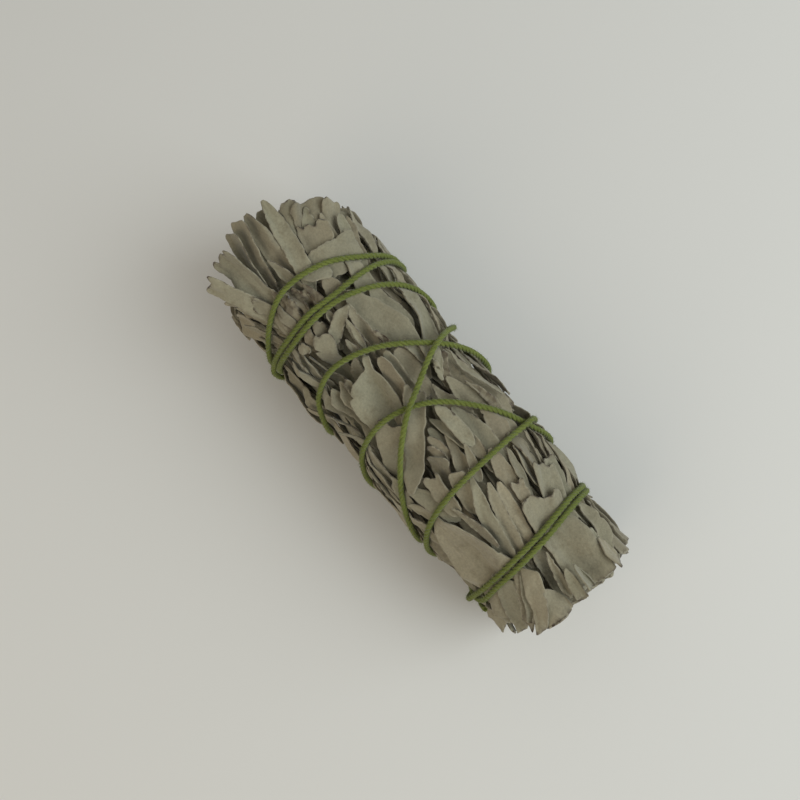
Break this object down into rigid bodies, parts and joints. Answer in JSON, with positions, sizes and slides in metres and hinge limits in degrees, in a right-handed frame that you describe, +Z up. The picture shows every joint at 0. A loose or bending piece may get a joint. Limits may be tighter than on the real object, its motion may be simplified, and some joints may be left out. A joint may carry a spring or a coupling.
{
  "type": "sage bunch",
  "caption": "Short fat roll of pressed dried white sage leaves on cut stems, bound end to end with one green cotton string, lying on its side.",
  "frame": {"origin": "middle of the flat under the bunch that it rests on", "axes": "+X along the bunch towards its leaf tips, +Z up from the surface that it rests on"},
  "size_m": [0.1034, 0.0386, 0.0345],
  "materials": {
    "leaf": "matt, felted, pale grey-green dried leaf with light rims and thin brown torn edges",
    "string": "twisted three-ply cotton, olive green, slightly fuzzy",
    "stem": "cut dried woody stem with a pale pith"
  },
  "bodies": {
    "root": {"leaf_bundle": "leaf", "binding_string": "string", "stem_1": "stem", "stem_2": "stem", "stem_3": "stem", "stem_4": "stem", "stem_5": "stem"}
  },
  "joints": []
}
